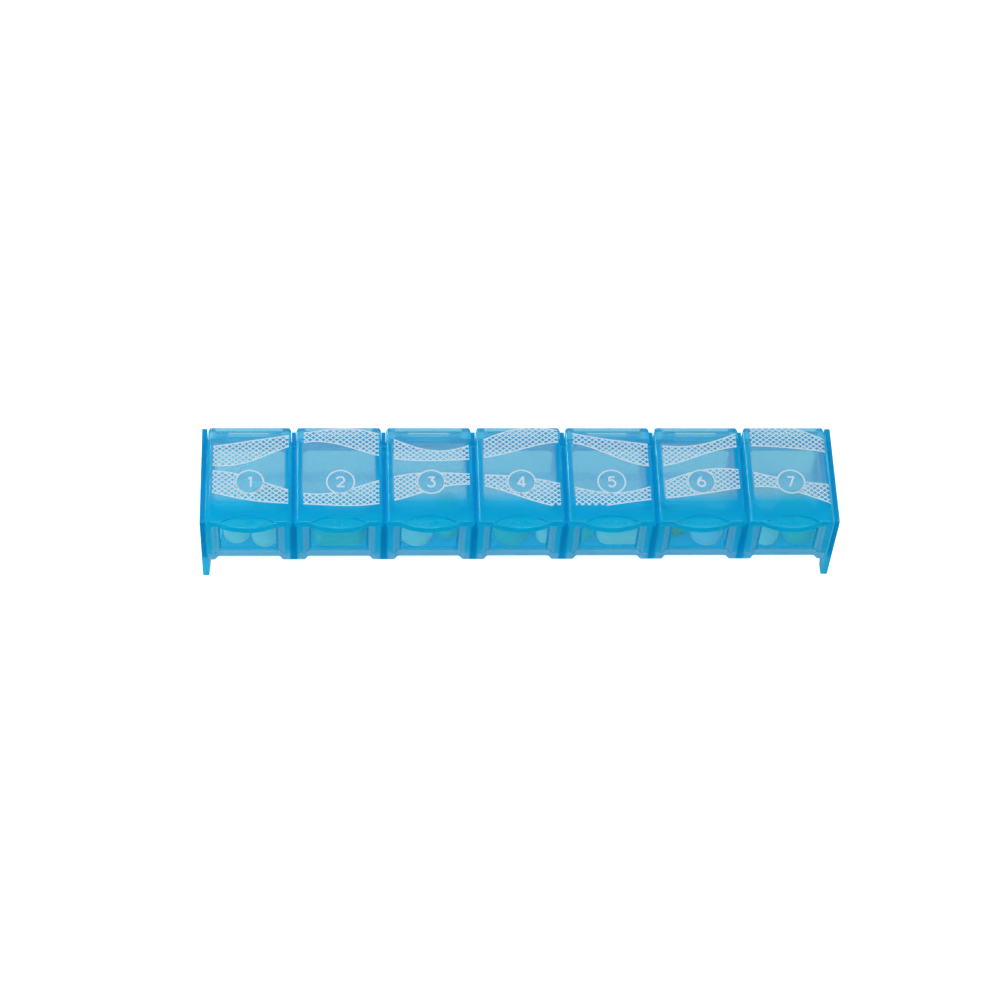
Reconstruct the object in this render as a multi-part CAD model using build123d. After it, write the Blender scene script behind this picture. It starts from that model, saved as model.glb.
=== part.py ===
from build123d import *
import os
from math import asin, copysign, cos, radians, sin, sqrt

# Weekly pill box: one clear tray with seven day compartments, and seven hinged lids.
# Frame: X along the row of days, Y from the front (tabs) to the rear (hinges), Z up.
# The origin is on the table, under the middle of the box. Sizes in millimetres.

# Driving dimensions of the whole box
DAYS = 7
PITCH = 27.0                 # one day's share of the length
LENGTH = 190.0               # outside of one end cheek to the outside of the other
HEIGHT = 31.5                # table to the top of the lids
Y_SKIRT = -16.0              # front edge of the lids
Y_HINGE = 16.0               # hinge axis, over the rear wall's outer face
BARREL_R = 2.2               # rounded rear edge of a lid, about the hinge axis
TAB_REACH = 2.2              # how far a finger tab stands out of the lid's front edge

# Tray
Z_FLOOR_UNDER = 8.2          # the feet hold the compartments this far off the table
FLOOR = 1.5
RIM_DROP = 2.8               # tray rim below the lid tops
PILASTER_SETBACK = 1.5       # front ribs behind the lids' front edge
PANEL_SETBACK = 2.75         # front wall between the ribs
FRONT_WALL = 1.35
REAR_WALL = 1.5
PARTITION = 1.8
RIB_FLAT_HALF = 2.85         # half width of a front rib's flat face
RIB_SHOULDER = 1.9           # width of the curve from the rib to the panel
RIB_WALL_SIDE = 0.85         # how far the inner curve stands beside the outer one
UNDER_ROUND_FRONT = 0.8      # along the ribbed lower edge
UNDER_ROUND_REAR = 3.0
CAVITY_CORNER = 2.6          # upright rear corners of a compartment
CAVITY_FRONT_CORNER = 0.35   # upright corners behind the ribs
CAVITY_FLOOR_ROUND = 1.8     # along the floor
REAR_WALL_GAP = 0.3          # rear wall below the lids' barrels
REAR_RIB = 1.25              # upright rib behind each partition, between two lids' barrels
REAR_RIB_DROP = 2.4          # its top below the lid tops
REAR_RIB_END = 18.0          # its rear edge
REAR_RIB_ROOT = 0.5          # how far it is let into the partition and the rear wall
PARTITION_END = 13.4         # full thickness ends ahead of the barrels

# End cheeks and feet
CHEEK = 1.5
CHEEK_DROP = 0.2             # top edge below the lid tops
CHEEK_ROUND = 1.0
CROTCH_ROUND = 2.5           # between a foot and the cheek's lower edge
FOOT_ROOT = 5.0              # front to back, at the cheek
FOOT_TIP = 4.5               # front to back, at the table
FOOT_SWEEP = 3.2             # large round of a foot's outer lower corner, seen from the side
FOOT_THICK_ROOT = 2.5
FOOT_THICK_TIP = 1.6
FOOT_TIP_ROUND = 0.4
FOOT_LEAD = 3.0              # the foot's taper starts this far above the floor's underside

# Lids
LID_GAP = 0.9                # between neighbours, and the hinge end is slimmer
LID_GAP_REAR = 1.5
LID_TAPER_START = 9.0
CHEEK_CLEARANCE = 0.3
LID_EDGE = 2.4               # height of a lid's edge
PLATE = 1.3                  # thickness of a lid's window
EDGE_ROUND = 1.3             # long top edges
FRONT_ROUND = 0.6            # front top edge
REAR_ROUND = 0.6             # rear top edge
REAR_CORNER = 1.5            # rear corners, seen from above
PLUG_SIDE = 1.05             # plug's outer side, from the partition's middle
PLUG_WALL = 1.6
PLUG_CHEEK_GAP = 0.65        # plug inside the outer side of the lids beside the cheeks
PLUG_FRONT = 4.4             # plug's outer front, behind the lid's front edge
PLUG_REAR = 14.1
PLUG_DROP = 4.7              # plug's lower edge below the lid top
PLUG_CORNER = 2.6
PLUG_CORNER_IN = 1.9
WINDOW_FRONT = 7.8           # the window starts this far behind the lid's front edge

# Finger tab
TAB_WIDTH = 18.0
TAB_DISH_REAR = 2.6          # the dish reaches this far into the lid
TAB_LIP = 0.8
DISH_DEPTH = 1.0
DOT_R = 0.55                 # raised dots in the dish count the days
DOT_RISE = 0.3
DOT_PITCH = 1.9
DOT_ROW = 0.4                # the row behind the lid's front edge

# Clip-in hinge: two hooks on the tray hold a bar that runs in a slot under the lid's rear edge
HOOK_X = 8.0                 # hooks left and right of a lid's middle
HOOK_WIDTH = 3.6
HOOK_SIDE_GAP = 0.3          # from a hook to the end of the slot
BAR_R = 0.75
BAR_ROOT = 0.2               # how far the bar is let into each end of the slot
HOOK_BORE_R = 0.80
HOOK_OUTER_R = 1.45
SHELL_INNER_R = 1.6          # room for the hooks under the lid's skin
HOOK_MOUTH = 1.2
SHELL_END = 22.0             # degrees above the level where the skin over the slot ends
WEB_REAR = 0.2               # hook web, ahead of the hinge axis
WEB_SHOULDER = 0.2           # top of the web's front part, below the hinge axis
WEB_ROOT = 1.0               # how far the web is let into the rear wall
SLOT_FRONT = 1.8             # front of the slot, ahead of the hinge axis

# Contents
PILL_GAP = 0.05              # pills lie on the floor with this hair of room
CROWN = 0.3                  # share of a round tablet's height in each crown
CAPLET_EDGE = 0.42           # edge rounding as a share of a caplet's height

# Working margins
OVERCUT = 1.0                # how far a cutting shape runs past the face that it cuts
PICK = 0.1                   # an edge or corner is looked for this close to its place
HAIR = 0.01
FAR = 60.0                   # longer than any piece, for cutting shapes

# Derived places
Z_TOP = HEIGHT
Z_FLOOR = Z_FLOOR_UNDER + FLOOR
Z_RIM = Z_TOP - RIM_DROP
Z_EDGE = Z_TOP - LID_EDGE
Z_HINGE = Z_TOP - BARREL_R
Z_REAR_WALL = Z_HINGE - BARREL_R - REAR_WALL_GAP
Y_PILASTER = Y_SKIRT + PILASTER_SETBACK
Y_PANEL = Y_SKIRT + PANEL_SETBACK
Y_REAR = Y_HINGE + BARREL_R
Y_CAVITY_FRONT = Y_PANEL + FRONT_WALL
Y_CAVITY_REAR = Y_HINGE - REAR_WALL
X_CHEEK_IN = LENGTH / 2 - CHEEK
SLOT_HALF = HOOK_X + HOOK_WIDTH / 2 + HOOK_SIDE_GAP


def block(x0, x1, y0, y1, z0, z1):
    """A block between two corners."""
    middle = Pos((x0 + x1) / 2, (y0 + y1) / 2, (z0 + z1) / 2)
    return middle * Box(x1 - x0, y1 - y0, z1 - z0)


def side_profile(face, x0, x1):
    """A face drawn as (Y, Z) points, carried along X from x0 to x1."""
    return Pos(x0, 0, 0) * extrude(Plane.YZ * face, x1 - x0)


def picked(shapes, axis, place):
    """Those edges or corners that lie at a place along an axis."""
    return shapes.filter_by_position(axis, place - PICK, place + PICK)


def day_middle(day):
    """X of a compartment's middle, with day counted from 1."""
    return (day - (DAYS + 1) / 2) * PITCH


def front_curve(x, step, y_from, y_to):
    """Two equal arcs that lead smoothly from one wall plane to another over one shoulder."""
    half_x = step / 2
    half_y = (y_to - y_from) / 2
    radius = (half_x**2 + half_y**2) / (2 * abs(half_y))
    turn = asin(half_x / radius)
    bow_x = radius * sin(turn / 2)
    bow_y = copysign(radius * (1 - cos(turn / 2)), half_y)
    middle = (x + half_x, y_from + half_y)
    ThreePointArc((x, y_from), (x + bow_x, y_from + bow_y), middle)
    ThreePointArc(middle, (x + step - bow_x, y_to - bow_y), (x + step, y_to))


def front_outline():
    """Plan of the tray: a ribbed front, and straight ends and rear."""
    x_end = LENGTH / 2 - CHEEK / 2
    with BuildSketch() as plan:
        with BuildLine():
            x = -x_end
            for joint in range(DAYS):
                flat_end = (joint - DAYS / 2) * PITCH + RIB_FLAT_HALF
                Line((x, Y_PILASTER), (flat_end, Y_PILASTER))
                front_curve(flat_end, RIB_SHOULDER, Y_PILASTER, Y_PANEL)
                panel_start = flat_end + RIB_SHOULDER
                panel_end = flat_end + PITCH - 2 * RIB_FLAT_HALF - RIB_SHOULDER
                Line((panel_start, Y_PANEL), (panel_end, Y_PANEL))
                front_curve(panel_end, RIB_SHOULDER, Y_PANEL, Y_PILASTER)
                x = panel_end + RIB_SHOULDER
            Line((x, Y_PILASTER), (x_end, Y_PILASTER))
            Polyline((x_end, Y_PILASTER), (x_end, Y_HINGE), (-x_end, Y_HINGE), (-x_end, Y_PILASTER))
        make_face()
    return plan.sketch


def rounded_floor(y0, y1, z0, z1, front, rear):
    """Side view of a box with its lower front and rear corners rounded; a round may be nought."""
    with BuildSketch() as view:
        with BuildLine():
            Polyline((y0, z0 + front), (y0, z1), (y1, z1), (y1, z0 + rear))
            RadiusArc((y1, z0 + rear), (y1 - rear, z0), rear)
            Line((y1 - rear, z0), (y0 + front, z0))
            if front > 0:
                RadiusArc((y0 + front, z0), (y0, z0 + front), front)
        make_face()
    return view.sketch


def compartment(x0, x1, flat_left, flat_right):
    """The hollow of one day: its front follows the ribs, its corners and floor are rounded."""
    y_rib = Y_PILASTER + FRONT_WALL
    left = x0 + flat_left
    right = x1 - flat_right
    with BuildSketch() as plan:
        with BuildLine():
            Line((x0, y_rib), (left, y_rib))
            front_curve(left, RIB_SHOULDER, y_rib, Y_CAVITY_FRONT)
            Line((left + RIB_SHOULDER, Y_CAVITY_FRONT), (right - RIB_SHOULDER, Y_CAVITY_FRONT))
            front_curve(right - RIB_SHOULDER, RIB_SHOULDER, Y_CAVITY_FRONT, y_rib)
            Line((right, y_rib), (x1, y_rib))
            Polyline((x1, y_rib), (x1, Y_CAVITY_REAR), (x0, Y_CAVITY_REAR), (x0, y_rib))
        make_face()
        fillet(picked(plan.vertices(), Axis.Y, Y_CAVITY_REAR), CAVITY_CORNER)
        front_corners = [corner for corner in plan.vertices()
                         if corner.Y < y_rib + PICK and min(abs(corner.X - x0), abs(corner.X - x1)) < PICK]
        fillet(front_corners, CAVITY_FRONT_CORNER)
    hollow = Pos(0, 0, Z_FLOOR) * extrude(plan.sketch, FAR)
    floor_round = CAVITY_FLOOR_ROUND
    view = rounded_floor(y_rib - HAIR, Y_CAVITY_REAR, Z_FLOOR, Z_FLOOR + FAR, floor_round, floor_round)
    hollow &= side_profile(view, x0, x1)
    return hollow


def tray_walls():
    """Ribbed body with seven hollows, lowered at the rear to make room for the lids' barrels."""
    body = Pos(0, 0, Z_FLOOR_UNDER) * extrude(front_outline(), Z_RIM - Z_FLOOR_UNDER)
    lower_front = picked(body.edges(), Axis.Z, Z_FLOOR_UNDER)
    lower_front = lower_front.filter_by_position(Axis.Y, Y_PILASTER - PICK, Y_PANEL + PICK)
    body = fillet(lower_front, UNDER_ROUND_FRONT)
    view = rounded_floor(Y_PILASTER - OVERCUT, Y_HINGE, Z_FLOOR_UNDER, Z_RIM, 0, UNDER_ROUND_REAR)
    body &= side_profile(view, -LENGTH / 2, LENGTH / 2)
    for day in range(1, DAYS + 1):
        x0 = day_middle(day) - PITCH / 2 + PARTITION / 2
        x1 = day_middle(day) + PITCH / 2 - PARTITION / 2
        flat = RIB_FLAT_HALF + RIB_WALL_SIDE - PARTITION / 2
        flat_left, flat_right = flat, flat
        if day == 1:
            flat_left -= -X_CHEEK_IN - x0
            x0 = -X_CHEEK_IN
        if day == DAYS:
            flat_right -= x1 - X_CHEEK_IN
            x1 = X_CHEEK_IN
        body -= compartment(x0, x1, flat_left, flat_right)
    body -= block(-X_CHEEK_IN, X_CHEEK_IN, PARTITION_END, Y_REAR, Z_REAR_WALL, Z_TOP)
    return body


def rear_rib(x):
    """Thin continuation of a partition: between two lids' barrels, and down the rear wall as a rib."""
    z_top = Z_TOP - REAR_RIB_DROP
    z_low = Z_FLOOR_UNDER + UNDER_ROUND_REAR
    stand = REAR_RIB_END - Y_HINGE
    outline = Polyline((PARTITION_END - REAR_RIB_ROOT, Z_FLOOR), (PARTITION_END - REAR_RIB_ROOT, z_top),
                       (REAR_RIB_END, z_top), (REAR_RIB_END, z_low + stand), (Y_HINGE, z_low),
                       (Y_HINGE - REAR_RIB_ROOT, z_low), (Y_HINGE - REAR_RIB_ROOT, Z_FLOOR), close=True)
    return side_profile(make_face(outline), x - REAR_RIB / 2, x + REAR_RIB / 2)


def hook(x):
    """Hook: a ring open at the top, on a web that grows out of the rear wall."""
    ring = Cylinder(HOOK_OUTER_R, HOOK_WIDTH, rotation=(0, 90, 0))
    z_web = Z_REAR_WALL - Z_HINGE - WEB_ROOT
    web = block(-HOOK_WIDTH / 2, HOOK_WIDTH / 2, -REAR_WALL, -WEB_REAR, z_web, 0)
    bore = Cylinder(HOOK_BORE_R, HOOK_WIDTH + OVERCUT, rotation=(0, 90, 0))
    mouth = block(-HOOK_WIDTH, HOOK_WIDTH, -HOOK_MOUTH / 2, HOOK_MOUTH / 2, 0, HOOK_OUTER_R + OVERCUT)
    above = block(-HOOK_WIDTH, HOOK_WIDTH, -REAR_WALL - OVERCUT, -HOOK_OUTER_R, -WEB_SHOULDER, OVERCUT)
    return Pos(x, Y_HINGE, Z_HINGE) * (ring + web - bore - mouth - above)


def cheek(side):
    """End plate with a foot at each lower corner; side is -1 on the left and 1 on the right."""
    z_top = Z_TOP - CHEEK_DROP
    corners = [(Y_SKIRT, 0), (Y_SKIRT, z_top), (Y_REAR, z_top), (Y_REAR, 0),
               (Y_REAR - FOOT_TIP, 0), (Y_REAR - FOOT_ROOT, Z_FLOOR_UNDER),
               (Y_SKIRT + FOOT_ROOT, Z_FLOOR_UNDER), (Y_SKIRT + FOOT_TIP, 0)]
    face = make_face(Polyline(*corners, close=True))
    face = fillet(picked(face.vertices(), Axis.Y, z_top), CHEEK_ROUND)
    face = fillet(picked(face.vertices(), Axis.Y, Z_FLOOR_UNDER), CROTCH_ROUND)
    half_depth = (Y_REAR - Y_SKIRT) / 2
    middle = (Y_REAR + Y_SKIRT) / 2
    outer = [tip for tip in picked(face.vertices(), Axis.Y, 0) if abs(tip.X - middle) > half_depth - PICK]
    face = fillet(outer, FOOT_SWEEP)
    reach_in = half_depth - FOOT_TIP + PICK
    inner = [tip for tip in picked(face.vertices(), Axis.Y, 0) if abs(tip.X - middle) < reach_in]
    face = fillet(inner, FOOT_TIP_ROUND)
    thick = side_profile(face, -LENGTH / 2, -LENGTH / 2 + FOOT_THICK_ROOT)
    x0 = -LENGTH / 2
    z_root = Z_FLOOR_UNDER
    front_view = make_face(Polyline(
        (x0, 0), (x0, z_top), (x0 + CHEEK, z_top), (x0 + CHEEK, z_root + FOOT_LEAD),
        (x0 + FOOT_THICK_ROOT, z_root), (x0 + FOOT_THICK_TIP, 0), close=True))
    front_view = fillet(picked(front_view.vertices(), Axis.Y, 0), FOOT_TIP_ROUND)
    plate = thick & (Pos(0, Y_REAR + OVERCUT, 0) * extrude(Plane.XZ * front_view, FAR))
    if side > 0:
        plate = mirror(plate, Plane.YZ)
    return plate


def make_tray():
    tray = tray_walls()
    for joint in range(1, DAYS):
        tray += rear_rib((joint - DAYS / 2) * PITCH)
    for day in range(1, DAYS + 1):
        for side in (-1, 1):
            tray += hook(day_middle(day) + side * HOOK_X)
    tray += cheek(-1)
    tray += cheek(1)
    return tray


def lens(reach_front, reach_rear, half):
    """Lens in plan across the lid's front edge, between two arcs with one chord."""
    with BuildSketch() as plan:
        with BuildLine():
            ThreePointArc((-half, Y_SKIRT), (0, Y_SKIRT - reach_front), (half, Y_SKIRT))
            ThreePointArc((half, Y_SKIRT), (0, Y_SKIRT + reach_rear), (-half, Y_SKIRT))
        make_face()
    return plan.sketch


def lid_slab(left, right):
    """Top of a lid: rounded long edges, rounded rear barrel, full edge height."""
    with BuildSketch() as view:
        with BuildLine():
            Polyline((Y_SKIRT, Z_EDGE), (Y_SKIRT, Z_TOP - FRONT_ROUND))
            RadiusArc((Y_SKIRT, Z_TOP - FRONT_ROUND), (Y_SKIRT + FRONT_ROUND, Z_TOP), FRONT_ROUND)
            Line((Y_SKIRT + FRONT_ROUND, Z_TOP), (Y_REAR - REAR_ROUND, Z_TOP))
            RadiusArc((Y_REAR - REAR_ROUND, Z_TOP), (Y_REAR, Z_TOP - REAR_ROUND), REAR_ROUND)
            Line((Y_REAR, Z_TOP - REAR_ROUND), (Y_REAR, Z_HINGE))
            RadiusArc((Y_REAR, Z_HINGE), (Y_HINGE, Z_HINGE - BARREL_R), BARREL_R)
            drop = Z_HINGE - Z_EDGE
            y_meet = Y_HINGE - sqrt(BARREL_R**2 - drop**2)
            ThreePointArc((Y_HINGE, Z_HINGE - BARREL_R),
                          (Y_HINGE - BARREL_R * cos(radians(45)), Z_HINGE - BARREL_R * sin(radians(45))),
                          (y_meet, Z_EDGE))
            Line((y_meet, Z_EDGE), (Y_SKIRT, Z_EDGE))
        make_face()
    slab = side_profile(view.sketch, left, right)
    z_low = Z_HINGE - BARREL_R
    front_view = make_face(Polyline((left, z_low), (left, Z_TOP), (right, Z_TOP), (right, z_low), close=True))
    front_view = fillet(picked(front_view.vertices(), Axis.Y, Z_TOP), EDGE_ROUND)
    slab &= Pos(0, Y_REAR + OVERCUT, 0) * extrude(Plane.XZ * front_view, FAR)
    return slab


def slot_cut():
    """Room for the hooks about the hinge axis: a round hole, open below and at the rear."""
    hole = Cylinder(SHELL_INNER_R, 2 * SLOT_HALF, rotation=(0, 90, 0))
    reach = 2 * BARREL_R
    end = radians(SHELL_END)
    wedge = make_face(Polyline((-SLOT_FRONT, 0), (0, 0), (reach * cos(end), reach * sin(end)),
                               (reach, -reach), (-SLOT_FRONT, -reach), close=True))
    return hole + side_profile(wedge, -SLOT_HALF, SLOT_HALF)


def plug_rim(left, right):
    """Rim that drops into the compartment, and its two hollows: a deep one, and the window's in the slab."""
    z_low = Z_TOP - PLUG_DROP
    z_window = Z_TOP - PLATE
    y_front = Y_SKIRT + PLUG_FRONT
    y_window = Y_SKIRT + WINDOW_FRONT
    y_back = PLUG_REAR - PLUG_WALL
    rim = block(left, right, y_front, PLUG_REAR, z_low, z_window)
    rim = fillet(rim.edges().filter_by(Axis.Z), PLUG_CORNER)
    deep = block(left + PLUG_WALL, right - PLUG_WALL, y_front + PLUG_WALL, y_back, z_low, Z_EDGE)
    deep = fillet(deep.edges().filter_by(Axis.Z), PLUG_CORNER_IN)
    window = block(left + PLUG_WALL, right - PLUG_WALL, y_window, y_back, Z_EDGE - HAIR, z_window)
    window = fillet(window.edges().filter_by(Axis.Z), PLUG_CORNER_IN)
    return rim, deep, window


def make_lid(day):
    """One lid in place, closed. The lids beside the cheeks are a little narrower."""
    half = (PITCH - LID_GAP) / 2
    half_rear = (PITCH - LID_GAP_REAR) / 2
    plug_half = PITCH / 2 - PLUG_SIDE
    left, right = -half, half
    rear_left, rear_right = -half_rear, half_rear
    plug_left, plug_right = -plug_half, plug_half
    limit = X_CHEEK_IN - CHEEK_CLEARANCE - day_middle(DAYS)
    if day == 1:
        left, rear_left, plug_left = -limit, -limit, -limit + PLUG_CHEEK_GAP
    if day == DAYS:
        right, rear_right, plug_right = limit, limit, limit - PLUG_CHEEK_GAP
    slab = lid_slab(left, right)
    y_before = Y_SKIRT - OVERCUT
    plan = make_face(Polyline(
        (left, y_before), (left, LID_TAPER_START), (rear_left, PARTITION_END), (rear_left, Y_REAR),
        (rear_right, Y_REAR), (rear_right, PARTITION_END), (right, LID_TAPER_START), (right, y_before),
        close=True))
    plan = fillet(picked(plan.vertices(), Axis.Y, Y_REAR), REAR_CORNER)
    slab &= Pos(0, 0, Z_REAR_WALL) * extrude(plan, FAR)
    tab = Pos(0, 0, Z_EDGE) * extrude(lens(TAB_REACH, TAB_REACH, TAB_WIDTH / 2), LID_EDGE)
    tab = fillet(picked(tab.edges(), Axis.Z, Z_TOP), TAB_LIP / 2)
    rim, deep, window = plug_rim(plug_left, plug_right)
    lid = slab + tab + rim - deep - window

    # Dish for the fingertip, with raised dots that count the days
    dish = extrude(lens(TAB_REACH - TAB_LIP, TAB_DISH_REAR, TAB_WIDTH / 2 - TAB_LIP), DISH_DEPTH + OVERCUT)
    lid -= Pos(0, 0, Z_TOP - DISH_DEPTH) * dish
    for dot in range(day):
        x = (dot - (day - 1) / 2) * DOT_PITCH
        lid += Pos(x, Y_SKIRT + DOT_ROW, Z_TOP - DISH_DEPTH - DOT_R + DOT_RISE) * Sphere(DOT_R)

    # Slot for the tray's hooks, crossed by the bar
    lid -= Pos(0, Y_HINGE, Z_HINGE) * slot_cut()
    bar = Cylinder(BAR_R, 2 * (SLOT_HALF + BAR_ROOT), rotation=(0, 90, 0))
    lid += Pos(0, Y_HINGE, Z_HINGE) * bar
    return Pos(day_middle(day), 0, 0) * lid


def round_tablet(diameter, height):
    """Round tablet: a straight band between two shallow spherical crowns."""
    half = diameter / 2
    rise = height * CROWN
    dome = (half**2 + rise**2) / (2 * rise)
    band = Pos(0, 0, height / 2) * Cylinder(half, height)
    return band & Pos(0, 0, dome) * Sphere(dome) & Pos(0, 0, height - dome) * Sphere(dome)


def caplet(length, width, height):
    """Long tablet: a stadium in plan with well rounded edges."""
    body = extrude(SlotOverall(length, width), height)
    edges = picked(body.edges(), Axis.Z, height) + picked(body.edges(), Axis.Z, 0)
    return fillet(edges, height * CAPLET_EDGE)


def place_pill(shape, day, across, behind, turn=0):
    """Lay a pill on a compartment's floor, behind the lids' front edge."""
    return Pos(day_middle(day) + across, Y_SKIRT + behind, Z_FLOOR + PILL_GAP) * Rot(0, 0, turn) * shape


def make_pills():
    """Seventeen loose tablets, two or three a day."""
    return {
        "tablet_1_white_left": place_pill(round_tablet(8.0, 4.2), 1, -3.7, 10.6),
        "tablet_1_white_right": place_pill(round_tablet(8.0, 4.2), 1, 4.8, 9.4),
        "tablet_1_green": place_pill(round_tablet(9.0, 4.4), 1, 5.7, 20.5),
        "caplet_2_green": place_pill(caplet(16.0, 7.0, 5.0), 2, 0.0, 9.2),
        "caplet_2_white": place_pill(caplet(15.0, 6.8, 5.0), 2, 3.0, 18.0),
        "tablet_3_white": place_pill(round_tablet(10.0, 5.0), 3, -3.6, 10.4),
        "caplet_3_green": place_pill(caplet(14.5, 6.4, 5.0), 3, 5.6, 15.2, 90),
        "tablet_4_green": place_pill(round_tablet(10.6, 4.6), 4, -1.8, 11.0),
        "caplet_4_white": place_pill(caplet(15.5, 6.0, 5.0), 4, 8.6, 14.0, 90),
        "tablet_5_green": place_pill(round_tablet(7.4, 4.0), 5, -7.6, 10.8),
        "caplet_5_white": place_pill(caplet(14.0, 7.2, 5.4), 5, 4.0, 9.4),
        "tablet_6_olive": place_pill(round_tablet(9.0, 4.4), 6, -6.2, 13.4),
        "tablet_6_blue_white": place_pill(round_tablet(10.0, 5.0), 6, 3.6, 10.4),
        "tablet_6_white": place_pill(round_tablet(8.4, 4.2), 6, 7.4, 20.6),
        "tablet_7_white_front": place_pill(round_tablet(8.0, 4.2), 7, -5.4, 9.6),
        "tablet_7_white_rear": place_pill(round_tablet(11.0, 4.8), 7, -6.2, 20.6),
        "caplet_7_green": place_pill(caplet(17.0, 9.4, 5.6), 7, 4.4, 14.2, 90),
    }


os.makedirs("parts", exist_ok=True)
export_step(make_tray(), "parts/tray.step")
for number in range(1, DAYS + 1):
    export_step(make_lid(number), f"parts/lid_{number}.step")
for name, pill in make_pills().items():
    export_step(pill, f"parts/{name}.step")
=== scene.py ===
from collections import namedtuple
from math import pi, radians

import bpy
import numpy as np
from mathutils import Matrix, Vector


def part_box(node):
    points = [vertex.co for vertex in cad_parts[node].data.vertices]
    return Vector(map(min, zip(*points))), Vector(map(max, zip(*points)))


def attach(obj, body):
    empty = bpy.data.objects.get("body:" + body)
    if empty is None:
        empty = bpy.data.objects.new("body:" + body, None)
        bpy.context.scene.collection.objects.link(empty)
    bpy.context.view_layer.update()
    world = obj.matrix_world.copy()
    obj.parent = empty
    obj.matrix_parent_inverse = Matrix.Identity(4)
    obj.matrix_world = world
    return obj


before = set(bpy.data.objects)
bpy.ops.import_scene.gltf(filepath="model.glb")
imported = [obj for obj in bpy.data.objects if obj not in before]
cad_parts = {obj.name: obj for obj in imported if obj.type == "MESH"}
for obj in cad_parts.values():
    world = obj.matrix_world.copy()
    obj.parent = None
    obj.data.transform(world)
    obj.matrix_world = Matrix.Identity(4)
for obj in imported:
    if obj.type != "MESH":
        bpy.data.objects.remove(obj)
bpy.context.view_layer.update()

# Tray
# One injection moulding in clear polypropylene tinted blue: seven compartments, a ribbed front, cheeks with
# feet, and hooks that the lids' hinge bars clip into. Its polished mould leaves it glossy, with a faint
# ripple where the melt cooled unevenly. The tint lies in the plastic, so thick places look deeper.

MM = 0.001
CLEAR_PP_IOR = 1.49
BLUE_TINT = "00EBFB"        # the tint holds back the red, a little of the green and hardly any of the blue
TINT_DENSITY = 380.0        # absorption per metre in the colour that the tint holds back most
THICK_BLUE = "00CEEE"       # colour of the light that the pigment scatters in the thick places
PALE_BLUE = "CCDEE8"        # the same in a thin wall, where the light has met little pigment
SENT_INWARDS = 0.5          # share of the scattered light that goes on through the wall
SHADOW_TINT = "F7FDFF"      # what each surface lets through into a shadow; the tint inside does the rest
MOULD_RIPPLE = 9.0          # millimetres from one faint swell of the surface to the next
RIPPLE_HEIGHT = 0.1
FROSTED_ROUGHNESS = 0.2
FROST_REACH = 0.05          # a face this close to the frosted height counts as frosted
PITCH = (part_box("lid_5")[0][0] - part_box("lid_4")[0][0]) / MM

# A thin wall: its limits to either side of the nearest day's middle, its limits in Y and in Z, the share of
# the light that it scatters, how pale that light is, and the width over which its front edge fades out. In
# three of the tray's walls that scatter also holds painted light and shade.
WALL_FADE = 0.8
Wall = namedtuple("Wall", "x_limits y_limits z_limits scatter paleness front_fade", defaults=[WALL_FADE])


def linear(colour):
    """Linear RGBA of an sRGB hex colour: each channel is raised by the sRGB curve."""
    channels = np.array([int(colour[i:i + 2], 16) for i in (0, 2, 4)]) / 255
    curved = np.where(channels <= 0.04045, channels / 12.92, ((channels + 0.055) / 1.055) ** 2.4)
    return (*curved.tolist(), 1.0)


def add_node(tree, kind, settings=None, links=None):
    """One node with its settings and links. A key is an input's name or number, or else names a setting."""
    node = tree.nodes.new(kind)
    for key, value in (settings or {}).items():
        if isinstance(key, int) or key in node.inputs.keys():
            node.inputs[key].default_value = value
        else:
            setattr(node, key, value)
    for key, source in (links or {}).items():
        tree.links.new(source, node.inputs[key])
    return node


def new_material(name):
    """An empty node material."""
    material = bpy.data.materials.new(name)
    material.use_nodes = True
    material.node_tree.nodes.clear()
    return material, material.node_tree


def inside_wall(tree, aside, axes, wall):
    """1 inside a wall, 0 outside: the product of six smooth fades, one past each of its limits."""
    sides = (
        (aside.outputs["Value"], wall.x_limits[1], WALL_FADE),
        (aside.outputs["Value"], wall.x_limits[0], -WALL_FADE),
        (axes.outputs["Y"], wall.y_limits[0], -wall.front_fade),
        (axes.outputs["Y"], wall.y_limits[1], WALL_FADE),
        (axes.outputs["Z"], wall.z_limits[0], -WALL_FADE),
        (axes.outputs["Z"], wall.z_limits[1], WALL_FADE),
    )
    share = None
    for place, limit, fade in sides:
        step = add_node(tree, "ShaderNodeMapRange", {
            "interpolation_type": "SMOOTHSTEP", "From Min": (limit + fade) * MM, "From Max": limit * MM,
        }, {"Value": place}).outputs["Result"]
        share = step if share is None else add_node(
            tree, "ShaderNodeMath", {"operation": "MULTIPLY"}, {0: share, 1: step}).outputs["Value"]
    return share


def scatter_and_paleness(tree, axes, thick_scatter, walls):
    """Share of the light that is scattered, and how pale it is: the values of the thick places, plus the
    difference of each wall times 1 inside it and 0 outside."""
    aside = add_node(tree, "ShaderNodeMath", {"operation": "PINGPONG", 1: PITCH / 2 * MM},
                     {0: axes.outputs["X"]})
    totals = {}
    for wall in walls:
        share = inside_wall(tree, aside, axes, wall)
        for name, thick in (("scatter", thick_scatter), ("paleness", 0.0)):
            change = getattr(wall, name) - thick
            before = {2: totals[name]} if name in totals else {}
            total = add_node(tree, "ShaderNodeMath", {"operation": "MULTIPLY_ADD", 1: change, 2: thick},
                             {0: share, **before})
            totals[name] = total.outputs["Value"]
    return totals["scatter"], totals["paleness"]


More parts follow.
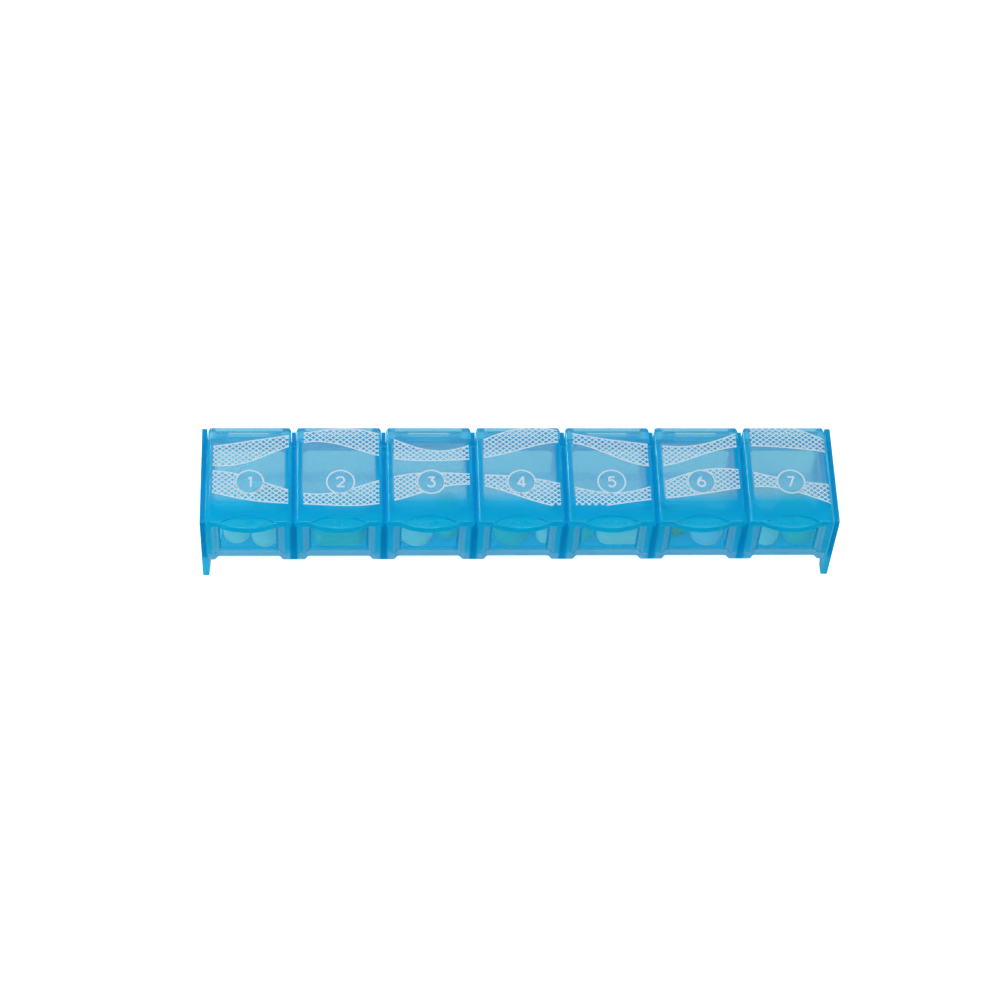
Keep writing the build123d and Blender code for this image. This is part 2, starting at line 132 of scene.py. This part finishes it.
def clear_tinted_plastic(name, roughness, ripple, thick_scatter, walls, frosted_at=None):
    """Clear moulded polypropylene: a glossy skin that bends light, a tint that deepens with the distance
    inside, and light scattered by the pigment, little and pale in thin walls, much and deep in thick places,
    with painted light and shade in the scatter of some walls.

    A face at the height frosted_at, in millimetres, is etched in the mould and blurs what lies behind it.
    Light on its way to a matt surface, such as a tablet or the floor, passes almost freely, as it does
    through thin clear plastic, so the box throws a soft blue shadow and not a dark one.
    """
    material, tree = new_material(name)
    place = add_node(tree, "ShaderNodeTexCoord")
    axes = add_node(tree, "ShaderNodeSeparateXYZ", {}, {"Vector": place.outputs["Object"]})
    swell = add_node(tree, "ShaderNodeTexNoise", {"Scale": 1 / (MOULD_RIPPLE * MM), "Detail": 1.0},
                     {"Vector": place.outputs["Object"]})
    bump = add_node(tree, "ShaderNodeBump", {"Strength": ripple, "Distance": RIPPLE_HEIGHT * MM},
                    {"Height": swell.outputs["Fac"]})
    skin = add_node(tree, "ShaderNodeBsdfPrincipled", {
        "Base Color": (1, 1, 1, 1), "Roughness": roughness, "IOR": CLEAR_PP_IOR, "Transmission Weight": 1.0,
    }, {"Normal": bump.outputs["Normal"]})
    if frosted_at is not None:
        etched = add_node(tree, "ShaderNodeMath", {
            "operation": "COMPARE", 1: frosted_at * MM, 2: FROST_REACH * MM,
        }, {0: axes.outputs["Z"]})
        frost = add_node(tree, "ShaderNodeMapRange", {"To Min": roughness, "To Max": FROSTED_ROUGHNESS},
                         {"Value": etched.outputs["Value"]})
        tree.links.new(frost.outputs["Result"], skin.inputs["Roughness"])
    scatter, paleness = scatter_and_paleness(tree, axes, thick_scatter, walls)
    colour = add_node(tree, "ShaderNodeMixRGB", {"Color1": linear(THICK_BLUE), "Color2": linear(PALE_BLUE)},
                      {"Fac": paleness})
    back = add_node(tree, "ShaderNodeBsdfDiffuse", {}, {"Color": colour.outputs["Color"]})
    through = add_node(tree, "ShaderNodeBsdfTranslucent", {}, {"Color": colour.outputs["Color"]})
    glow = add_node(tree, "ShaderNodeMixShader", {0: SENT_INWARDS},
                    {1: back.outputs[0], 2: through.outputs[0]})
    plastic = add_node(tree, "ShaderNodeMixShader", {}, {0: scatter, 1: skin.outputs[0], 2: glow.outputs[0]})
    path = add_node(tree, "ShaderNodeLightPath")
    passing = add_node(tree, "ShaderNodeMath", {"operation": "MAXIMUM"},
                       {0: path.outputs["Is Shadow Ray"], 1: path.outputs["Is Diffuse Ray"]})
    open_way = add_node(tree, "ShaderNodeBsdfTransparent", {"Color": linear(SHADOW_TINT)})
    surface = add_node(tree, "ShaderNodeMixShader", {},
                       {0: passing.outputs[0], 1: plastic.outputs[0], 2: open_way.outputs[0]})
    body = add_node(tree, "ShaderNodeVolumeAbsorption", {"Color": linear(BLUE_TINT), "Density": TINT_DENSITY})
    add_node(tree, "ShaderNodeOutputMaterial", {}, {"Surface": surface.outputs[0], "Volume": body.outputs[0]})
    return material


def dress(node, material):
    """Gives a CAD node its finish."""
    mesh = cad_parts[node].data
    mesh.materials.clear()
    mesh.materials.append(material)


TRAY_WALLS = (
    Wall((0, 8.0), (-14.0, -11.0), (13.0, 28.0), 0.10, 0.0),        # front panels
    # Painted highlight: pale scatter on the ribs' curved shoulders stands in for soft upright lights on them.
    Wall((9.3, 10.3), (-14.6, -12.5), (13.0, 27.0), 0.50, 0.4),     # shoulders of the ribs
    # Painted light: a pale band along the front's lower edge, where light from the floor would shine through.
    Wall((0, 11.9), (-15.5, -11.0), (5.0, 11.6), 0.55, 0.65),       # the front's lower edge
    # Painted shade: deep, dark scatter over the floors' front part, in the shade of the lids' rims and ribs.
    Wall((0, 12.0), (-10.5, 3.0), (8.0, 10.0), 0.70, 0.0),          # front part of the floors
    Wall((0, 11.0), (4.5, 13.0), (8.0, 10.0), 0.10, 0.5),           # their rear part
    Wall((0, 11.0), (14.0, 16.5), (11.5, 27.5), 0.10, 0.5),         # rear walls
)
tray_plastic = clear_tinted_plastic(
    "clear blue polypropylene, tray", roughness=0.05, ripple=0.08, thick_scatter=0.42, walls=TRAY_WALLS)
dress("tray", tray_plastic)

# Lids
# Seven lids in the same clear polypropylene, moulded apart and clipped onto the tray. The thin window over
# each compartment looks pale, while the plug rim, the finger tab and the long edges, where the light goes
# through more plastic, look a deep blue.

DAYS = 7
WINDOW_UNDERSIDE = 30.2     # height of the etched face under each window
WINDOW_FADE = 5.0           # a window's front part stands in the glow of the thick band ahead of it
LID_WALLS = (
    Wall((0, 10.6), (-4.0, 12.3), (29.5, 32.0), 0.27, 1.0, front_fade=WINDOW_FADE),     # windows
    Wall((0, 11.5), (13.2, 19.0), (26.0, 32.0), 0.40, 0.3),                             # skin over the hinge
)
lid_plastic = clear_tinted_plastic(
    "clear blue polypropylene, lids", roughness=0.05, ripple=0.06, thick_scatter=0.5, walls=LID_WALLS,
    frosted_at=WINDOW_UNDERSIDE)
for day in range(1, DAYS + 1):
    dress(f"lid_{day}", lid_plastic)

# Print on the lids
# White ink, pad-printed on the flat top of each lid: two bands of fine diamond trellis that wave along the
# box, with a line along each edge, and clear plastic between them. The ink is thin, so it takes a little of
# the blue.

INK = "D2EAFA"
INK_RISE = 0.01             # the film's height over the lid
INK_LAYER = 0.004           # where lines cross, one lies this much over the other
INK_UNEVENNESS = 1.2        # from one thin place of the film to the next
PRINT_LEFT = -10.6          # sides of the print area, from a lid's middle
PRINT_RIGHT = 12.1
PRINT_FRONT = 6.0           # behind a lid's front edge
PRINT_REAR = 0.35           # ahead of a lid's rear edge
PRINT_STEPS = 240           # points along a line
TRELLIS_PITCH = 1.25        # from one slanted line to the next
TRELLIS_SLOPE = 0.8
TRELLIS_LINE = 0.36
LINES_EACH_WAY = 40         # enough slanted lines to reach every corner of a lid
EDGE_LINE = 0.42
LID_EDGE_ROUND = 1.3
RING_OUTER = 4.35
RING_LINE = 0.5
BADGE_BEHIND = 14.4         # centre of the badge, behind a lid's front edge
BADGE_ASIDE = 0.5           # and to the right of its middle
BAND_WAVES = (              # each band's middle and half its width: level, swing, wave length and phase
    ((11.4, 3.6, 67, 0.7), (2.8, 1.1, 41, 2.0)),
    ((-4.2, 3.6, 83, 2.9), (3.0, 1.2, 47, 0.4)),
)

Z_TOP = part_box("lid_4")[1][2] / MM
Y_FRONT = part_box("tray")[0][1] / MM     # beside their tabs, the lids end flush with the tray's front
Y_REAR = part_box("lid_4")[1][1] / MM


def white_ink():
    """Pad-printing ink: matt, nearly opaque, a little uneven where the film is thin."""
    material, tree = new_material("white pad-printing ink")
    place = add_node(tree, "ShaderNodeTexCoord")
    film = add_node(tree, "ShaderNodeTexNoise", {"Scale": 1 / (INK_UNEVENNESS * MM), "Detail": 2.0},
                    {"Vector": place.outputs["Object"]})
    shade = add_node(tree, "ShaderNodeMapRange", {"To Min": 0.42, "To Max": 0.6},
                     {"Value": film.outputs["Fac"]})
    skin = add_node(tree, "ShaderNodeBsdfPrincipled", {
        "Base Color": linear(INK), "IOR": 1.5, "Specular IOR Level": 0.3,
    }, {"Roughness": shade.outputs["Result"]})
    add_node(tree, "ShaderNodeOutputMaterial", {}, {"Surface": skin.outputs["BSDF"]})
    return material


def new_piece(name, points, faces, material, body):
    """A mesh from an array of points in millimetres and lists of corner numbers, riding on a body."""
    mesh = bpy.data.meshes.new(name)
    mesh.from_pydata((np.asarray(points) * MM).tolist(), [], [list(map(int, face)) for face in faces])
    mesh.materials.append(material)
    piece = bpy.data.objects.new(name, mesh)
    bpy.context.scene.collection.objects.link(piece)
    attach(piece, body)


def day_middle(day):
    """X of a lid's middle."""
    return (day - (DAYS + 1) / 2) * PITCH


def top_height(x, day):
    """Height of a lid's printed face at x: flat, then falling as a quarter circle towards each long edge."""
    low, high = (np.array(corner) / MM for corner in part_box(f"lid_{day}"))
    inside = np.minimum(x - low[0], high[0] - x)
    into_round = np.clip(LID_EDGE_ROUND - inside, 0, LID_EDGE_ROUND)
    fall = LID_EDGE_ROUND - np.sqrt(LID_EDGE_ROUND**2 - into_round**2)
    return Z_TOP + INK_RISE - fall


def wave(x, level, swing, length, phase):
    """Slow wave along the box: its level, plus its swing times the sine of its turn at x."""
    return level + swing * np.sin(2 * pi * x / length + phase)


def band_edges(x, band):
    """Front and rear edge of a printed band at x: its middle, less and plus half its width."""
    middle, half = (wave(x, *numbers) for numbers in BAND_WAVES[band])
    return middle - half, middle + half


def inside_print(x, y, day, band):
    """Whether a point lies between a band's edges, in the lid's print area and outside the badge."""
    front, rear = band_edges(x, band)
    from_badge = np.hypot(x - day_middle(day) - BADGE_ASIDE, y - Y_FRONT - BADGE_BEHIND)
    across = (x > day_middle(day) + PRINT_LEFT) & (x < day_middle(day) + PRINT_RIGHT)
    along = (y > np.maximum(front, Y_FRONT + PRINT_FRONT)) & (y < np.minimum(rear, Y_REAR - PRINT_REAR))
    return across & along & (from_badge > RING_OUTER - RING_LINE / 2)


def stroke(x, y, width, printed, day):
    """Flat ribbon along a line of points, cut where a point isn't printed: one quad for each printed step."""
    along = np.stack([np.gradient(x), np.gradient(y)], axis=1)
    along /= np.linalg.norm(along, axis=1)[:, None]
    side = np.stack([-along[:, 1], along[:, 0]], axis=1) * width / 2
    line = np.stack([x, y], axis=1)
    low, high = line - side, line + side
    steps = printed[:-1] & printed[1:]
    quads = np.stack([low[:-1], low[1:], high[1:], high[:-1]], axis=1)[steps]
    return np.concatenate([quads, top_height(quads[:, :, 0], day)[:, :, None]], axis=2)


def printed_band(day, band):
    """Points and faces of one band on one lid: two crossing families of slanted lines, and the edge lines."""
    left = day_middle(day) + PRINT_LEFT
    right = day_middle(day) + PRINT_RIGHT
    x = np.linspace(left, right, PRINT_STEPS)
    strokes = []
    for layer, slope in enumerate((TRELLIS_SLOPE, -TRELLIS_SLOPE)):
        rise = TRELLIS_PITCH * np.sqrt(1 + slope**2)
        for offset in np.arange(-LINES_EACH_WAY, LINES_EACH_WAY + 1) * rise:
            y = offset + slope * (x - left)
            printed = inside_print(x, y, day, band)
            if printed.any():
                strokes.append(stroke(x, y, TRELLIS_LINE, printed, day) + [0, 0, layer * INK_LAYER])
    for y in band_edges(x, band):
        nudge = EDGE_LINE / 10
        printed = inside_print(x, y + nudge, day, band) | inside_print(x, y - nudge, day, band)
        strokes.append(stroke(x, y, EDGE_LINE, printed, day) + [0, 0, 2 * INK_LAYER])
    points = np.concatenate(strokes).reshape(-1, 3)
    return points, np.arange(len(points)).reshape(-1, 4)


ink = white_ink()
for day in range(1, DAYS + 1):
    for band, place in enumerate(("rear", "front")):
        points, faces = printed_band(day, band)
        new_piece(f"print_{day}_{place}", points, faces, ink, f"lid_{day}")

# Day badges
# A ring with the number of the day over the middle of each window. It is pad-printed in the same white ink as
# the bands, which end under the ring's line and leave the plastic inside it clear.

NUMBER_HEIGHT = 3.7
NUMBER_STROKE = 0.62
BOW_STEPS = 40
RING_STEPS = 96


def ring(centre, outer, width, z):
    """Flat ring: two circles of points, joined by quads."""
    angle = np.linspace(0, 2 * pi, RING_STEPS, endpoint=False)
    circle = np.stack([np.cos(angle), np.sin(angle)], axis=1)
    rims = [centre + circle * radius for radius in (outer, outer - width)]
    points = np.concatenate([np.column_stack([rim, np.full(RING_STEPS, z)]) for rim in rims])
    step = np.arange(RING_STEPS)
    after = (step + 1) % RING_STEPS
    faces = np.stack([step, after, after + RING_STEPS, step + RING_STEPS], axis=1)
    return points, faces


def straight(*corners):
    """Points of a straight stroke, as shares of the number's height."""
    return np.array(corners, dtype=float)


def bow(centre, radius, start, end):
    """Points of a round stroke: part of a circle between two angles in degrees, turning from start to end."""
    angle = np.radians(np.linspace(start, end, BOW_STEPS))
    return np.array(centre) + radius * np.stack([np.cos(angle), np.sin(angle)], axis=1)


NUMBER_STROKES = {
    1: [straight((0.12, 0.80), (0.36, 0.98)), straight((0.34, 1.0), (0.34, 0.0))],
    2: [bow((0.31, 0.70), 0.30, 165, -38), straight((0.57, 0.55), (0.03, 0.04)),
        straight((0.0, 0.07), (0.64, 0.07))],
    3: [straight((0.06, 0.93), (0.58, 0.93)), straight((0.57, 0.96), (0.26, 0.58)),
        bow((0.29, 0.32), 0.30, 95, -155)],
    4: [straight((0.46, 1.0), (0.03, 0.30)), straight((0.0, 0.27), (0.68, 0.27)),
        straight((0.48, 1.0), (0.48, 0.0))],
    5: [straight((0.10, 0.93), (0.57, 0.93)), straight((0.13, 0.96), (0.10, 0.50)),
        bow((0.28, 0.33), 0.31, 125, -150)],
    6: [bow((0.31, 0.31), 0.29, 0, 360), bow((0.64, 0.36), 0.62, 180, 116)],
    7: [straight((0.03, 0.93), (0.62, 0.93)), straight((0.59, 0.96), (0.20, 0.0))],
}


def number_mesh(day, height):
    """Points and faces of a printed number, centred on its own outline, in millimetres: each stroke is a flat
    ribbon along its line, and each lies a layer of ink over the one before."""
    lines = [line * height for line in NUMBER_STROKES[day]]
    outline = np.concatenate(lines)
    middle = (outline.min(axis=0) + outline.max(axis=0)) / 2
    points, faces, first = [], [], 0
    for layer, line in enumerate(lines):
        along = np.gradient(line - middle, axis=0)
        along /= np.linalg.norm(along, axis=1)[:, None]
        side = np.stack([-along[:, 1], along[:, 0]], axis=1) * NUMBER_STROKE / 2
        rows = np.stack([line - middle - side, line - middle + side], axis=1).reshape(-1, 2)
        points.append(np.column_stack([rows, np.full(len(rows), layer * INK_LAYER)]))
        step = first + 2 * np.arange(len(line) - 1)
        faces.append(np.stack([step, step + 2, step + 3, step + 1], axis=1))
        first += len(rows)
    return np.concatenate(points), np.concatenate(faces)


for day in range(1, DAYS + 1):
    centre = np.array([day_middle(day) + BADGE_ASIDE, Y_FRONT + BADGE_BEHIND])
    points, faces = ring(centre, RING_OUTER, RING_LINE, Z_TOP + INK_RISE)
    new_piece(f"badge_ring_{day}", points, faces, ink, f"lid_{day}")
    points, faces = number_mesh(day, NUMBER_HEIGHT)
    points += [*centre, Z_TOP + INK_RISE]
    new_piece(f"badge_number_{day}", points, faces, ink, f"lid_{day}")

# Tablets
# Loose tablets in the compartments: pressed powder under a thin coat, white, bluish white, green or olive.
# The coat is smooth and half matt, with a trace of grain.

TABLET_COLOURS = {"blue_white": "DDE9F5", "olive": "8FB58A", "green": "62D8D2", "white": "F4F3EE"}
TABLET_GRAIN = 0.35         # from one grain under the coat to the next
GRAIN_HEIGHT = 0.03
GRAIN_SHADE = 0.9           # the darkest grain, as a share of the coat's own colour


def coated_tablet(name, colour):
    """Film coat on a pressed tablet: half matt, faintly grained, slightly uneven in tone."""
    material, tree = new_material(name)
    place = add_node(tree, "ShaderNodeTexCoord")
    grain = add_node(tree, "ShaderNodeTexNoise", {"Scale": 1 / (TABLET_GRAIN * MM), "Detail": 3.0},
                     {"Vector": place.outputs["Object"]})
    shaded = [GRAIN_SHADE * channel for channel in linear(colour)[:3]]
    tone = add_node(tree, "ShaderNodeMixRGB", {"Color1": linear(colour), "Color2": (*shaded, 1)},
                    {"Fac": grain.outputs["Fac"]})
    bump = add_node(tree, "ShaderNodeBump", {"Strength": 0.15, "Distance": GRAIN_HEIGHT * MM},
                    {"Height": grain.outputs["Fac"]})
    skin = add_node(tree, "ShaderNodeBsdfPrincipled", {
        "Roughness": 0.42, "IOR": 1.48, "Subsurface Weight": 0.15, "Subsurface Scale": 0.6 * MM,
    }, {"Base Color": tone.outputs["Color"], "Normal": bump.outputs["Normal"]})
    add_node(tree, "ShaderNodeOutputMaterial", {}, {"Surface": skin.outputs["BSDF"]})
    return material


coats = {}
for name, colour in TABLET_COLOURS.items():
    coats[name] = coated_tablet(f"film-coated tablet, {name}", colour)
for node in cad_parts:
    if node.startswith(("tablet_", "caplet_")):
        dress(node, next(coat for name, coat in coats.items() if name in node))

# Studio
# The plain white paper that the box stands on, one large softbox overhead, two narrow strip lamps on the left
# that draw lights along its edges, an even sky, and the camera at the photograph's viewing angle.

CAMERA_PLACE = (-54.8, -497.3, 770.8)
CAMERA_ELEVATION = 56.38
CAMERA_YAW = -5.66
CAMERA_ROLL = 4.66
CAMERA_LENS = 107.5
FLOOR_SIZE = 4000.0
FLOOR_CORNERS = 64
FLOOR_WHITE = "F7F8F9"
FLOOR_GLOW = 0.2
FLOOR_LIFT = 0.5            # what the picture of the bare floor is lifted by, to plain white
FLOOR_PAINTED_IN_REFLECTIONS = "3C5A6C"   # painted reflection: where the plastic mirrors the floor, the floor is painted this dark blue-grey
SKY_LIGHT = 0.15
SKY_SEEN = 1.0              # the sky behind the floor pictures as white too


def softbox(name, place, size, radiance):
    """Flat lamp at a place in millimetres, turned towards the box; its radiance sets its power."""
    light = bpy.data.lights.new(name, "AREA")
    light.shape = "RECTANGLE"
    light.size, light.size_y = size[0] * MM, size[1] * MM
    light.energy = radiance * pi * light.size * light.size_y
    lamp = bpy.data.objects.new(name, light)
    bpy.context.scene.collection.objects.link(lamp)
    lamp.location = Vector(place) * MM
    lamp.rotation_euler = Vector(place).to_track_quat("Z", "Y").to_euler()


def studio_floor():
    """Large pale disc under the box; where the plastic mirrors it, it is painted dark blue-grey."""
    angle = np.linspace(0, 2 * pi, FLOOR_CORNERS, endpoint=False)
    points = np.column_stack([np.cos(angle), np.sin(angle), np.zeros(FLOOR_CORNERS)]) * FLOOR_SIZE / 2 * MM
    mesh = bpy.data.meshes.new("studio floor")
    mesh.from_pydata(points.tolist(), [], [list(range(FLOOR_CORNERS))])
    floor = bpy.data.objects.new("studio_floor", mesh)
    bpy.context.scene.collection.objects.link(floor)
    material, tree = new_material("matt white paper sweep")
    path = add_node(tree, "ShaderNodeLightPath")
    glow = add_node(tree, "ShaderNodeMapRange", {"To Min": FLOOR_GLOW, "To Max": FLOOR_GLOW + FLOOR_LIFT},
                    {"Value": path.outputs["Is Camera Ray"]})
    skin = add_node(tree, "ShaderNodeBsdfPrincipled", {
        "Base Color": linear(FLOOR_WHITE), "Roughness": 0.9, "Specular IOR Level": 0.1,
        "Emission Color": (1, 1, 1, 1),
    }, {"Emission Strength": glow.outputs["Result"]})
    # Painted reflection: in the plastic's reflections the floor shows this dark blue-grey, not white.
    painted_floor_reflection = add_node(tree, "ShaderNodeBsdfDiffuse", {"Color": linear(FLOOR_PAINTED_IN_REFLECTIONS)})
    reflected = add_node(tree, "ShaderNodeMath", {"operation": "SUBTRACT", "use_clamp": True},
                         {0: path.outputs["Is Glossy Ray"], 1: path.outputs["Is Transmission Ray"]})
    surface = add_node(tree, "ShaderNodeMixShader", {},
                       {0: reflected.outputs[0], 1: skin.outputs[0], 2: painted_floor_reflection.outputs[0]})
    add_node(tree, "ShaderNodeOutputMaterial", {}, {"Surface": surface.outputs[0]})
    mesh.materials.append(material)


studio_floor()
softbox("overhead softbox", (0, -200, 900), (1400, 900), 1.7)
softbox("strip lamp, left and behind", (-760, 690, 560), (110, 420), 12)
softbox("strip lamp, left in front", (-620, -560, 420), (90, 360), 18)

world = bpy.data.worlds.new("even sky")
bpy.context.scene.world = world
world.use_nodes = True
sky = world.node_tree.nodes["Background"]
sky.inputs["Color"].default_value = (1, 1, 1, 1)
seen = add_node(world.node_tree, "ShaderNodeLightPath")
brightness = add_node(world.node_tree, "ShaderNodeMapRange", {"To Min": SKY_LIGHT, "To Max": SKY_SEEN},
                      {"Value": seen.outputs["Is Camera Ray"]})
world.node_tree.links.new(brightness.outputs["Result"], sky.inputs["Strength"])

camera_data = bpy.data.cameras.new("camera")
camera_data.lens = CAMERA_LENS
camera_data.clip_end = 100
camera = bpy.data.objects.new("camera", camera_data)
bpy.context.scene.collection.objects.link(camera)
camera.location = Vector(CAMERA_PLACE) * MM
turn = Matrix.Rotation(radians(CAMERA_YAW), 4, "Z")
tilt = Matrix.Rotation(radians(90 - CAMERA_ELEVATION), 4, "X")
roll = Matrix.Rotation(radians(CAMERA_ROLL), 4, "Z")
camera.rotation_euler = (turn @ tilt @ roll).to_euler()
bpy.context.scene.camera = camera

scene = bpy.context.scene
scene.view_settings.view_transform = "Standard"
scene.cycles.max_bounces = 64
scene.cycles.transmission_bounces = 64
scene.cycles.glossy_bounces = 16
scene.cycles.transparent_max_bounces = 48
